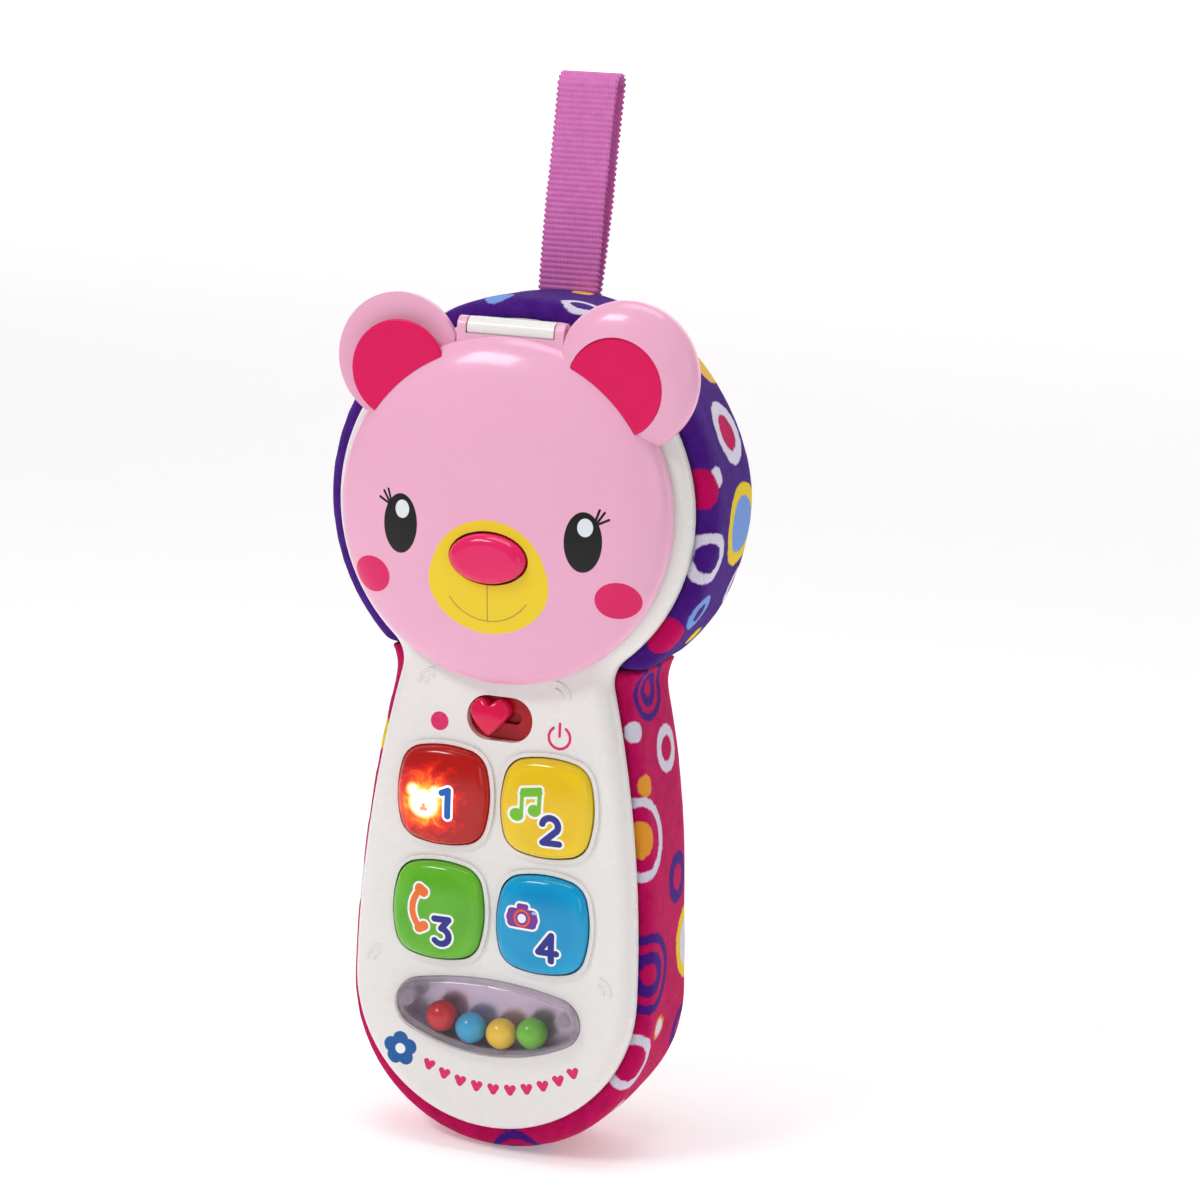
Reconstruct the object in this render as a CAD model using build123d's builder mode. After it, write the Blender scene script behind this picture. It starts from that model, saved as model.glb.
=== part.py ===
from build123d import *
import os
from math import cos, radians, sin

# Bear-face toy phone. The front faces -Y, +X is to the viewer's right, +Z is up.
# The origin is under the middle of the whole toy, at the height of its lowest point.
# Millimetres throughout. Depths are measured from RIM_Y, the rear edge of the white rim.

RIM_Y = -8.6

# Head and panel outline, seen from the front:
# each shape is body radius, height of the body centre, flank radius, head radius
HEAD_Z = 152.3
PANEL_SHAPE = (34.4, 40.6, 300.0, 42.4)
NECK_RADIUS = 7.0
NECK_MIDDLE = -14.0
NECK_SEAM_Z = 117.5

# Front housing depths
WALL = 2.2
PANEL_FRONT = RIM_Y - 4.7
PANEL_BACK = PANEL_FRONT + WALL
FLANGE_BACK = RIM_Y + 0.5
SKIRT_BACK = RIM_Y + 6.0
SKIRT_INSET = 1.9
RIM_ROUND = 4.0

# Rear housing and battery island
REAR_FLOOR_BACK = RIM_Y + 28.0
REAR_ROUND = 5.0
ISLAND_Z = 57.0
ISLAND_WIDTH = 58.0
ISLAND_HEIGHT = 45.0
ISLAND_BACK = RIM_Y + 35.4
ISLAND_FRONT = RIM_Y + 20.0
BAY_WIDTH = 50.0
BAY_HEIGHT = 23.0
BAY_Z = ISLAND_Z - 7.0
DOOR_WIDTH = 53.5
DOOR_HEIGHT = 41.0
DOOR_THICK = 2.0
BAY_FLOOR = RIM_Y + 21.8
DOOR_FRONT = ISLAND_BACK - DOOR_THICK
DOOR_SCREW_Z = ISLAND_Z + 13.0

# Plush gusset
PLUSH_SHAPE = (37.3, 37.3, 340.0, 47.0)
PLUSH_FRONT = RIM_Y + 0.8
PLUSH_BACK = RIM_Y + 35.8
PLUSH_FRONT_ROUND = 4.0
PLUSH_BACK_ROUND = 11.0
PLUSH_GAP = 0.3

# Face cover, hinged between the ears
FACE_RADIUS = 39.3
FACE_BACK = RIM_Y - 5.2
FACE_SIDE = RIM_Y - 6.8
FACE_FRONT = RIM_Y - 16.3
FACE_WALL = 2.0
DOME_POWER = 2.3
PLATE_SEAT = 0.35
EAR_X = 27.0
EAR_Z = 184.6
EAR_RADIUS = 16.7
EAR_FRONT = RIM_Y - 11.8
EAR_SHOULDER = RIM_Y - 6.0
EAR_POWER = 2.2
EAR_FLOOR = EAR_FRONT + 2.3
INNER_EAR_RADIUS = 11.2
INNER_EAR_SHIFT = (1.4, 2.3)
NOSE_Z = 143.0
NOSE_RADII = (8.95, 5.6)
NOSE_GAP = 0.5
NOSE_TIP = RIM_Y - 18.6
HINGE_Y = RIM_Y - 5.9
HINGE_Z = 192.8
KNUCKLE_RADIUS = 2.3
KNUCKLE_HALF = 12.6
BARREL_HALF = 10.2
HINGE_GAP = 0.35
PIN_RADIUS = 0.9
RIM_TOP_Z = HEAD_Z + PANEL_SHAPE[3]

# Mirror under the face cover
MIRROR_RADIUS = 31.0
BEZEL_RADIUS = 33.4
MIRROR_RECESS = 1.4

# Push buttons
BUTTON_WIDTH = 22.2
BUTTON_HEIGHT = 23.0
BUTTON_BULGE = 26.0
BUTTON_CORNER = 5.6
BUTTON_GAP = 0.35
BUTTON_FRONT = RIM_Y - 8.6
BUTTON_CROWN = 46.0
BUTTON_EDGE = 2.6
BUTTON_WALL = 1.8
BUTTON_CEILING = BUTTON_FRONT + 2.8
BUTTON_BACK = PANEL_BACK + 1.4
BUTTON_TRAVEL = 1.5
BUTTONS = {
    "button_1": (-12.65, 85.3),
    "button_2": (12.65, 85.3),
    "button_3": (-12.8, 58.0),
    "button_4": (12.8, 58.0),
}
LIP_WIDTH = 0.9
LIP_PROUD = 0.7

# Power slide
SLOT_Z = 104.4
SLOT_WIDTH = 15.9
SLOT_HEIGHT = 10.4
SLOT_ROUND = 5.1
SLOT_FLOOR = PANEL_BACK + 0.1
HEART_X = -2.5
HEART_WIDTH = 9.4
HEART_FRONT = RIM_Y - 6.5
HEART_BACK = SLOT_FLOOR - 0.3
HEART_CROWN = 9.0
HEART_EDGE = 0.9

# Bead window and train
WINDOW_TOP_Z = 43.7
WINDOW_BOTTOM_Z = 24.1
ROOF_RADIUS = 80.0
TRACK_RADIUS = 44.0
END_RADIUS = 6.9
WINDOW_CROWN = 2.2
ROOF_Z = WINDOW_TOP_Z - ROOF_RADIUS
TRACK_Z = WINDOW_BOTTOM_Z + TRACK_RADIUS
TRAY_WALL = 1.2
BEAD_RADIUS = 3.65
BEAD_CENTRE_RADIUS = TRACK_RADIUS - TRAY_WALL - BEAD_RADIUS - 0.35
BEAD_Y = RIM_Y - 1.5
BEADS = {"bead_red": -19.0, "bead_blue": -7.7, "bead_yellow": 3.6, "bead_green": 14.9}
TRAY_BACK = BEAD_Y + BEAD_RADIUS + 0.3 + TRAY_WALL
WINDOW_POSTS = [(-19.6, 36.6), (19.6, 36.6)]
POST_RADIUS = 2.1

# Electronics
BOARD_FRONT = RIM_Y + 1.8
BOARD_THICK = 1.6
CELL_RADIUS = 5.25
CELL_LENGTH = 44.5
HOUSING_SCREWS = [(-26.3, 71.7), (26.3, 71.7), (-13.0, 17.5), (13.0, 17.5), (-30.5, 148.0), (30.5, 148.0)]
FACE_SCREWS = [(-24.0, 138.0), (24.0, 138.0), (0.0, 176.0)]

# Strap
STRAP_WIDTH = 14.6
STRAP_HEIGHT = 49.0
STRAP_OUTER = 6.4
STRAP_THICK = 0.9
STRAP_Y = RIM_Y + 28.5
STRAP_BASE_Z = 199.5
STRAP_LEAN = 4.0

os.makedirs("parts", exist_ok=True)


def at_y(y):
    """Plane facing the front at depth y; its local axes are X and Z."""
    return Plane.XZ.offset(-y)


def finish(builder, name):
    """Label a finished piece and write its file."""
    builder.part.label = name
    export_step(builder.part, f"parts/{name}.step")


def keyhole(body_radius, body_z, flank_radius, head_radius, grow=0.0):
    """Round head on a spoon-shaped body, all of tangent arcs, moved outward by grow."""
    flank_centre = Vector(body_radius - flank_radius, body_z)
    head_centre = Vector(0, HEAD_Z)
    # the hollow neck arc touches the flank and the head from outside
    span = head_centre - flank_centre
    to_flank = flank_radius + NECK_RADIUS
    to_head = head_radius + NECK_RADIUS
    along = (to_flank ** 2 - to_head ** 2 + span.length ** 2) / (2 * span.length)
    aside = (to_flank ** 2 - along ** 2) ** 0.5
    unit = span.normalized()
    neck_centre = flank_centre + unit * along + Vector(unit.Y, -unit.X) * aside
    flank_angle = (neck_centre - flank_centre).get_signed_angle(Vector(1, 0))
    head_angle = (neck_centre - head_centre).get_signed_angle(Vector(1, 0))
    with BuildLine(Plane.XY) as outline:
        CenterArc((0, body_z), body_radius + grow, -90, 90)
        flank = CenterArc(flank_centre, flank_radius + grow, 0, abs(flank_angle))
        head = CenterArc(head_centre, head_radius + grow, -abs(head_angle), abs(head_angle) + 90)
        neck_way = Vector(cos(radians(NECK_MIDDLE)), sin(radians(NECK_MIDDLE)))
        middle = neck_centre - neck_way * (NECK_RADIUS - grow)
        ThreePointArc(flank @ 1, middle, head @ 0)
        mirror(about=Plane.YZ)
    make_face(outline.edges())


def lens(grow=0.0):
    """Long window: a round track below, a flatter roof and round ends, all tangent, moved outward by grow."""
    to_track = TRACK_RADIUS - END_RADIUS
    to_roof = ROOF_RADIUS - END_RADIUS
    span = TRACK_Z - ROOF_Z
    rise = (to_roof ** 2 - to_track ** 2 + span ** 2) / (2 * span)
    end_x = (to_roof ** 2 - rise ** 2) ** 0.5
    end_z = ROOF_Z + rise
    below = Vector(end_x, end_z - TRACK_Z) * ((TRACK_RADIUS + grow) / to_track) + Vector(0, TRACK_Z)
    above = Vector(end_x, end_z - ROOF_Z) * ((ROOF_RADIUS + grow) / to_roof) + Vector(0, ROOF_Z)
    with BuildLine(Plane.XY) as outline:
        ThreePointArc((-below.X, below.Y), (0, WINDOW_BOTTOM_Z - grow), below)
        ThreePointArc(below, (end_x + END_RADIUS + grow, end_z), above)
        ThreePointArc(above, (0, WINDOW_TOP_Z + grow), (-above.X, above.Y))
        ThreePointArc((-above.X, above.Y), (-end_x - END_RADIUS - grow, end_z), (-below.X, below.Y))
    make_face(outline.edges())


def button_outline(centre, grow=0.0):
    """Rounded square with bulging sides, all of tangent arcs, moved outward by grow."""
    side = Vector(BUTTON_WIDTH / 2 - BUTTON_BULGE, 0)
    top = Vector(0, BUTTON_HEIGHT / 2 - BUTTON_BULGE)
    between = top - side
    diagonal = Vector(-between.Y, between.X).normalized()
    inner = BUTTON_BULGE - BUTTON_CORNER
    corner = (side + top) / 2 + diagonal * (inner ** 2 - (between.length / 2) ** 2) ** 0.5
    low = side + (corner - side) * ((BUTTON_BULGE + grow) / inner)
    high = top + (corner - top) * ((BUTTON_BULGE + grow) / inner)
    tip = corner + diagonal * (BUTTON_CORNER + grow)

    def spot(point, flip_x, flip_z):
        return centre[0] + flip_x * point.X, centre[1] + flip_z * point.Y

    right = Vector(BUTTON_WIDTH / 2 + grow, 0)
    crest = Vector(0, BUTTON_HEIGHT / 2 + grow)
    with BuildLine(Plane.XY) as outline:
        for flip in (-1, 1):
            ThreePointArc(spot(low, flip, -1), spot(right, flip, 1), spot(low, flip, 1))
            ThreePointArc(spot(high, -1, flip), spot(crest, 1, flip), spot(high, 1, flip))
            ThreePointArc(spot(low, flip, 1), spot(tip, flip, 1), spot(high, flip, 1))
            ThreePointArc(spot(low, flip, -1), spot(tip, flip, -1), spot(high, flip, -1))
    make_face(outline.edges())


def heart(centre_x, centre_z, width):
    """Heart of the given width, round its own middle, point down."""
    lobe = width / 4
    with BuildLine(Plane.XY) as outline:
        for side in (-1, 1):
            Spline((centre_x, centre_z - 1.75 * lobe),
                   (centre_x + side * 1.45 * lobe, centre_z - 0.35 * lobe),
                   (centre_x + side * 2 * lobe, centre_z + 0.9 * lobe),
                   (centre_x + side * 1.05 * lobe, centre_z + 1.85 * lobe),
                   (centre_x, centre_z + 1.2 * lobe),
                   tangents=((side * 1, 0.75), (-side * 0.9, -1)))
    make_face(outline.edges())


def rounded_profile(centre_x, radius, front, shoulder, power):
    """Half section of a domed disc in the XY plane: a flat back, a straight side and a rounded front."""
    steps = 6
    curve = []
    for step in range(steps + 1):
        turn = radians(90 * step / steps)
        out = centre_x + radius * sin(turn) ** (2 / power)
        curve.append((out, shoulder - (shoulder - front) * cos(turn)))
    with BuildLine(Plane.XY) as outline:
        Line((centre_x, FACE_BACK), (centre_x, front))
        Spline(*curve, tangents=((1, 0), (0, 1)))
        Line((centre_x + radius, shoulder), (centre_x + radius, FACE_BACK))
        Line((centre_x + radius, FACE_BACK), (centre_x, FACE_BACK))
    make_face(outline.edges())


def dome_profile(inset):
    """Half section of the face dome, inset from its outer skin."""
    rounded_profile(0, FACE_RADIUS - inset, FACE_FRONT + inset, FACE_SIDE + inset * 0.4, DOME_POWER)


def inner_ear_place(side):
    """Middle of an ear's flat disc, set towards the face from the middle of the ear."""
    return side * (EAR_X - INNER_EAR_SHIFT[0]), EAR_Z - INNER_EAR_SHIFT[1]


# Front housing: a keyhole shell with a rounded rim, its wells, bosses and hinge lug
with BuildPart() as front_housing:
    with BuildSketch(at_y(FLANGE_BACK)):
        keyhole(*PANEL_SHAPE)
    extrude(amount=FLANGE_BACK - PANEL_FRONT)
    fillet(front_housing.faces().sort_by(Axis.Y)[0].edges(), radius=RIM_ROUND)
    with BuildSketch(at_y(SKIRT_BACK)):
        keyhole(*PANEL_SHAPE, grow=-SKIRT_INSET)
    extrude(amount=SKIRT_BACK - FLANGE_BACK)
    with BuildSketch(at_y(SKIRT_BACK)):
        keyhole(*PANEL_SHAPE, grow=-SKIRT_INSET - WALL)
    extrude(amount=SKIRT_BACK - PANEL_BACK, mode=Mode.SUBTRACT)
    # thin lips round the button wells, then the wells themselves
    with BuildSketch(at_y(PANEL_FRONT)):
        for place in BUTTONS.values():
            button_outline(place, BUTTON_GAP + LIP_WIDTH)
    extrude(amount=LIP_PROUD)
    with BuildSketch(at_y(PANEL_BACK)):
        for place in BUTTONS.values():
            button_outline(place, BUTTON_GAP)
    extrude(amount=PANEL_BACK - PANEL_FRONT + LIP_PROUD, mode=Mode.SUBTRACT)
    # bead window opening and power slot
    with BuildSketch(at_y(PANEL_BACK)):
        lens(-0.6)
    extrude(amount=2 * WALL, mode=Mode.SUBTRACT)
    with BuildSketch(at_y(PANEL_BACK)):
        with Locations((0, SLOT_Z)):
            RectangleRounded(SLOT_WIDTH, SLOT_HEIGHT, SLOT_ROUND)
    extrude(amount=2 * WALL, mode=Mode.SUBTRACT)
    # recess for the mirror and its bezel
    with BuildSketch(at_y(PANEL_FRONT + MIRROR_RECESS)):
        with Locations((0, HEAD_Z)):
            Circle(BEZEL_RADIUS + 0.1)
    extrude(amount=2 * WALL, mode=Mode.SUBTRACT)
    # hinge hollow in the rim, and the barrel that lies in its middle
    with BuildSketch(Plane.YZ.offset(-KNUCKLE_HALF - HINGE_GAP)):
        with Locations((HINGE_Y, HINGE_Z)):
            Circle(KNUCKLE_RADIUS + HINGE_GAP)
    extrude(amount=2 * (KNUCKLE_HALF + HINGE_GAP), mode=Mode.SUBTRACT)
    with BuildSketch(Plane.YZ.offset(-BARREL_HALF)):
        with Locations((HINGE_Y, HINGE_Z)):
            Circle(KNUCKLE_RADIUS)
        with Locations((HINGE_Y, RIM_TOP_Z)):
            Rectangle(FLANGE_BACK - HINGE_Y - RIM_ROUND / 2, RIM_TOP_Z - HINGE_Z + KNUCKLE_RADIUS,
                      align=(Align.MIN, Align.MAX))
    extrude(amount=2 * BARREL_HALF)
    with BuildSketch(Plane.YZ.offset(-BARREL_HALF)):
        with Locations((HINGE_Y, HINGE_Z)):
            Circle(PIN_RADIUS + 0.02)
    extrude(amount=2 * BARREL_HALF, mode=Mode.SUBTRACT)
    # screw bosses behind the panel
    with BuildSketch(at_y(SKIRT_BACK)):
        with Locations(*HOUSING_SCREWS):
            Circle(3.0)
    extrude(amount=SKIRT_BACK - PANEL_BACK)
    with BuildSketch(at_y(SKIRT_BACK)):
        with Locations(*HOUSING_SCREWS):
            Circle(1.3)
    extrude(amount=6.0, mode=Mode.SUBTRACT)
finish(front_housing, "front_housing")

# Rear housing: a tub with screw wells, sound holes and the battery island
with BuildPart() as rear_housing:
    with BuildSketch(at_y(REAR_FLOOR_BACK)):
        keyhole(*PANEL_SHAPE, grow=-SKIRT_INSET)
    extrude(amount=REAR_FLOOR_BACK - SKIRT_BACK)
    fillet(rear_housing.faces().sort_by(Axis.Y)[-1].edges(), radius=REAR_ROUND)
    with BuildSketch(at_y(REAR_FLOOR_BACK - WALL)):
        keyhole(*PANEL_SHAPE, grow=-SKIRT_INSET - WALL)
    extrude(amount=REAR_FLOOR_BACK - WALL - SKIRT_BACK, mode=Mode.SUBTRACT)
    with BuildSketch(at_y(ISLAND_BACK)):
        with Locations((0, ISLAND_Z)):
            RectangleRounded(ISLAND_WIDTH, ISLAND_HEIGHT, 6)
    extrude(amount=ISLAND_BACK - ISLAND_FRONT)
    with BuildSketch(at_y(ISLAND_BACK)):
        with Locations((0, ISLAND_Z)):
            RectangleRounded(DOOR_WIDTH + 0.5, DOOR_HEIGHT + 0.5, 4.25)
    extrude(amount=ISLAND_BACK - DOOR_FRONT, mode=Mode.SUBTRACT)
    with BuildSketch(at_y(DOOR_FRONT)):
        with Locations((0, BAY_Z)):
            RectangleRounded(BAY_WIDTH, BAY_HEIGHT, 1.5)
    extrude(amount=DOOR_FRONT - BAY_FLOOR, mode=Mode.SUBTRACT)
    with BuildSketch(at_y(DOOR_FRONT)):
        with Locations((0, DOOR_SCREW_Z)):
            Circle(1.6)
    extrude(amount=9.0, mode=Mode.SUBTRACT)
    # screw wells from the back, each with a floor that clamps a boss
    with BuildSketch(at_y(REAR_FLOOR_BACK - WALL)):
        with Locations(*HOUSING_SCREWS):
            Circle(4.4)
    extrude(amount=REAR_FLOOR_BACK - WALL - SKIRT_BACK)
    with BuildSketch(at_y(REAR_FLOOR_BACK)):
        with Locations(*HOUSING_SCREWS):
            Circle(2.9)
    extrude(amount=REAR_FLOOR_BACK - SKIRT_BACK - 2.0, mode=Mode.SUBTRACT)
    with BuildSketch(at_y(SKIRT_BACK + 2.0)):
        with Locations(*HOUSING_SCREWS):
            Circle(1.6)
    extrude(amount=2.0, mode=Mode.SUBTRACT)
    # sound holes behind the speaker
    with BuildSketch(at_y(REAR_FLOOR_BACK)):
        with Locations((0, HEAD_Z)):
            Circle(1.2)
            with PolarLocations(5, 6):
                Circle(1.2)
            with PolarLocations(9.5, 10):
                Circle(1.2)
    extrude(amount=WALL, mode=Mode.SUBTRACT)
finish(rear_housing, "rear_housing")

# Screws that hold the two housings together
with BuildPart() as housing_screws:
    with BuildSketch(at_y(SKIRT_BACK + 4.0)):
        with Locations(*HOUSING_SCREWS):
            Circle(2.6)
    extrude(amount=1.9)
    with BuildSketch(at_y(SKIRT_BACK + 2.1)):
        with Locations(*HOUSING_SCREWS):
            Circle(1.27)
    extrude(amount=7.5)
    with BuildSketch(at_y(SKIRT_BACK + 4.0)):
        with Locations(*HOUSING_SCREWS):
            Rectangle(3.0, 0.7)
            Rectangle(0.7, 3.0)
    extrude(amount=0.8, mode=Mode.SUBTRACT)
finish(housing_screws, "housing_screws")

# Mirror and bezel
with BuildPart() as mirror_disc:
    with BuildSketch(at_y(PANEL_FRONT + MIRROR_RECESS - 0.05)):
        with Locations((0, HEAD_Z)):
            Circle(MIRROR_RADIUS - 0.1)
    extrude(amount=0.9)
finish(mirror_disc, "mirror")

head_axis = Axis((0, 0, HEAD_Z), (0, 1, 0))
with BuildPart() as mirror_bezel:
    with BuildSketch(Plane.XY.offset(HEAD_Z)):
        with BuildLine():
            Polyline((MIRROR_RADIUS, PANEL_FRONT + MIRROR_RECESS - 0.05),
                     (BEZEL_RADIUS, PANEL_FRONT + MIRROR_RECESS - 0.05),
                     (BEZEL_RADIUS, PANEL_FRONT + 0.1), (BEZEL_RADIUS - 0.4, PANEL_FRONT - 0.1),
                     (MIRROR_RADIUS - 1.4, PANEL_FRONT - 0.1), (MIRROR_RADIUS - 1.4, PANEL_FRONT + 0.3),
                     (MIRROR_RADIUS, PANEL_FRONT + 0.3), close=True)
        make_face()
    revolve(axis=head_axis)
finish(mirror_bezel, "mirror_bezel")

# Face shell: domed face, two thick-rimmed ears, and the hinge knuckles
with BuildPart() as face_shell:
    for side in (-1, 1):
        with BuildSketch(Plane.XY.offset(EAR_Z)):
            rounded_profile(side * EAR_X, EAR_RADIUS, EAR_FRONT, EAR_SHOULDER, EAR_POWER)
        revolve(axis=Axis((side * EAR_X, 0, EAR_Z), (0, 1, 0)))
        with BuildSketch(at_y(EAR_FLOOR)):
            with Locations(inner_ear_place(side)):
                Circle(INNER_EAR_RADIUS)
        extrude(amount=EAR_FLOOR - EAR_FRONT, mode=Mode.SUBTRACT)
    with BuildSketch(Plane.XY.offset(HEAD_Z)):
        dome_profile(0)
    revolve(axis=head_axis)
    with BuildSketch(Plane.YZ.offset(-KNUCKLE_HALF)):
        with Locations((HINGE_Y, HINGE_Z)):
            Circle(KNUCKLE_RADIUS)
        with Locations((HINGE_Y, HINGE_Z)):
            Rectangle(KNUCKLE_RADIUS, 4 * KNUCKLE_RADIUS, align=(Align.MAX, Align.MAX))
    extrude(amount=2 * KNUCKLE_HALF)
    # hollow the dome and the ears from behind
    with BuildSketch(Plane.XY.offset(HEAD_Z)):
        dome_profile(FACE_WALL)
    revolve(axis=head_axis, mode=Mode.SUBTRACT)
    with BuildSketch(at_y(FACE_BACK)):
        with Locations((0, HEAD_Z)):
            Circle(FACE_RADIUS - FACE_WALL + PLATE_SEAT)
        with Locations((-EAR_X, EAR_Z), (EAR_X, EAR_Z)):
            Circle(EAR_RADIUS - FACE_WALL)
    extrude(amount=1.7, mode=Mode.SUBTRACT)
    # room for the housing's barrel between the two knuckles
    with BuildSketch(Plane.YZ.offset(-BARREL_HALF - HINGE_GAP)):
        with Locations((HINGE_Y, HINGE_Z)):
            Circle(KNUCKLE_RADIUS + HINGE_GAP)
            Rectangle(2 * KNUCKLE_RADIUS, 2 * (KNUCKLE_RADIUS + HINGE_GAP), align=(Align.MIN, Align.CENTER))
    extrude(amount=2 * (BARREL_HALF + HINGE_GAP), mode=Mode.SUBTRACT)
    with BuildSketch(Plane.YZ.offset(-KNUCKLE_HALF)):
        with Locations((HINGE_Y, HINGE_Z)):
            Circle(PIN_RADIUS + 0.06)
    extrude(amount=2 * KNUCKLE_HALF, mode=Mode.SUBTRACT)
    # screw posts, then the oval hole for the nose
    with BuildSketch(at_y(FACE_BACK - 1.7)):
        with Locations(*FACE_SCREWS):
            Circle(2.6)
    extrude(amount=6.2)
    with BuildSketch(at_y(FACE_BACK - 1.7)):
        with Locations(*FACE_SCREWS):
            Circle(0.95)
    extrude(amount=4.5, mode=Mode.SUBTRACT)
    with BuildSketch(at_y(FACE_BACK - 2.0)):
        with Locations((0, NOSE_Z)):
            Ellipse(NOSE_RADII[0] + NOSE_GAP, NOSE_RADII[1] + NOSE_GAP)
    extrude(amount=20, mode=Mode.SUBTRACT)
finish(face_shell, "face_shell")

# Inner plate of the face cover
with BuildPart() as face_back:
    with BuildSketch(at_y(FACE_BACK)):
        with Locations((0, HEAD_Z)):
            Circle(FACE_RADIUS - FACE_WALL + PLATE_SEAT - 0.1)
        with Locations((-EAR_X, EAR_Z), (EAR_X, EAR_Z)):
            Circle(EAR_RADIUS - FACE_WALL - 0.1)
        with Locations((0, HINGE_Z)):
            Rectangle(2 * KNUCKLE_HALF + 2, 2 * (HINGE_Z - 186), mode=Mode.SUBTRACT)
        with Locations(*FACE_SCREWS):
            Circle(1.2, mode=Mode.SUBTRACT)
    extrude(amount=1.6)
    with BuildSketch(at_y(FACE_BACK - 1.0)):
        with Locations((0, 120)):
            Circle(2.6)
    extrude(amount=0.8)
finish(face_back, "face_back")

with BuildPart() as face_screws:
    with BuildSketch(at_y(FACE_BACK + 0.25)):
        with Locations(*FACE_SCREWS):
            Circle(1.9)
    extrude(amount=0.25)
    with BuildSketch(at_y(FACE_BACK)):
        with Locations(*FACE_SCREWS):
            Circle(0.9)
    extrude(amount=5.6)
finish(face_screws, "face_screws")

# Flat discs set into the ears, cut by the edge of the face
for name, side in (("inner_ear_left", -1), ("inner_ear_right", 1)):
    with BuildPart() as inner_ear:
        with BuildSketch(at_y(EAR_FLOOR)):
            with Locations(inner_ear_place(side)):
                Circle(INNER_EAR_RADIUS - 0.05)
        extrude(amount=0.9)
        fillet(inner_ear.faces().sort_by(Axis.Y)[0].edges(), radius=0.4)
        with BuildSketch(Plane.XY.offset(HEAD_Z)):
            dome_profile(-0.1)
        revolve(axis=head_axis, mode=Mode.SUBTRACT)
    finish(inner_ear, name)

# Nose: a domed oval with a flange that stops it pulling through the face
with BuildPart() as nose:
    with BuildSketch(at_y(NOSE_TIP + 6.6)):
        with Locations((0, NOSE_Z)):
            Ellipse(*NOSE_RADII)
    extrude(amount=6.6)
    fillet(nose.faces().sort_by(Axis.Y)[0].edges(), radius=2.4)
    with BuildSketch(at_y(NOSE_TIP + 7.2)):
        with Locations((0, NOSE_Z)):
            Ellipse(NOSE_RADII[0] + 1.6, NOSE_RADII[1] + 1.6)
    extrude(amount=0.9)
finish(nose, "nose")

with BuildPart() as flap_magnet:
    with BuildSketch(at_y(FACE_BACK - 1.85)):
        with Locations((0, 120)):
            Circle(2.5)
    extrude(amount=1.5)
finish(flap_magnet, "flap_magnet")

with BuildPart() as hinge_pin:
    with BuildSketch(Plane.YZ.offset(-KNUCKLE_HALF + 0.1)):
        with Locations((HINGE_Y, HINGE_Z)):
            Circle(PIN_RADIUS)
    extrude(amount=2 * KNUCKLE_HALF - 0.2)
finish(hinge_pin, "hinge_pin")

# Hollow domed buttons with a flange behind the panel
for name, place in BUTTONS.items():
    with BuildPart() as button:
        with BuildSketch(at_y(BUTTON_BACK)):
            button_outline(place)
        extrude(amount=BUTTON_BACK - BUTTON_FRONT)
        with Locations((place[0], BUTTON_FRONT + BUTTON_CROWN, place[1])):
            Sphere(BUTTON_CROWN, mode=Mode.INTERSECT)
        fillet(button.faces().sort_by(Axis.Y)[0].edges(), radius=BUTTON_EDGE)
        with BuildSketch(at_y(BUTTON_BACK)):
            button_outline(place, 1.1)
        extrude(amount=1.2)
        with BuildSketch(at_y(BUTTON_BACK)):
            button_outline(place, -BUTTON_WALL)
        extrude(amount=BUTTON_BACK - BUTTON_CEILING, mode=Mode.SUBTRACT)
    finish(button, name)

# Silicone keypad with a hole over each lamp
with BuildPart() as keypad_membrane:
    with BuildSketch(at_y(BOARD_FRONT)):
        with Locations((0, 71.7)):
            RectangleRounded(43, 50, 5)
        with Locations(*BUTTONS.values()):
            Circle(3.0, mode=Mode.SUBTRACT)
    extrude(amount=0.9)
finish(keypad_membrane, "keypad_membrane")

with BuildPart() as button_leds:
    with BuildSketch(at_y(BOARD_FRONT)):
        with Locations(*BUTTONS.values()):
            Circle(1.5)
    extrude(amount=3.6)
    fillet(button_leds.faces().filter_by(Axis.Y).group_by(Axis.Y)[0].edges(), radius=1.2)
finish(button_leds, "button_leds")

with BuildPart() as circuit_board:
    with BuildSketch(at_y(BOARD_FRONT + BOARD_THICK)):
        with Locations((0, 79)):
            RectangleRounded(43, 63, 3)
    extrude(amount=BOARD_THICK)
finish(circuit_board, "circuit_board")

with BuildPart() as sound_chip:
    with BuildSketch(at_y(BOARD_FRONT + BOARD_THICK + 1.6)):
        with Locations((6, 96)):
            Circle(5.0)
    extrude(amount=1.6)
    fillet(sound_chip.faces().sort_by(Axis.Y)[-1].edges(), radius=1.2)
finish(sound_chip, "sound_chip")

with BuildPart() as reed_switch:
    with BuildSketch(Plane.YZ.offset(-6)):
        with Locations((PANEL_BACK + 1.4, 120)):
            Circle(1.1)
    extrude(amount=12)
finish(reed_switch, "reed_switch")

# Power switch: red slot plate, fixed switch body, carriage and heart knob
with BuildPart() as slot_plate:
    with BuildSketch(at_y(SLOT_FLOOR + 1.0)):
        with Locations((0, SLOT_Z)):
            RectangleRounded(SLOT_WIDTH + 2.0, SLOT_HEIGHT + 2.0, SLOT_ROUND + 1.0)
            SlotOverall(9.0, 2.8, mode=Mode.SUBTRACT)
    extrude(amount=1.0)
finish(slot_plate, "slot_plate")

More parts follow.
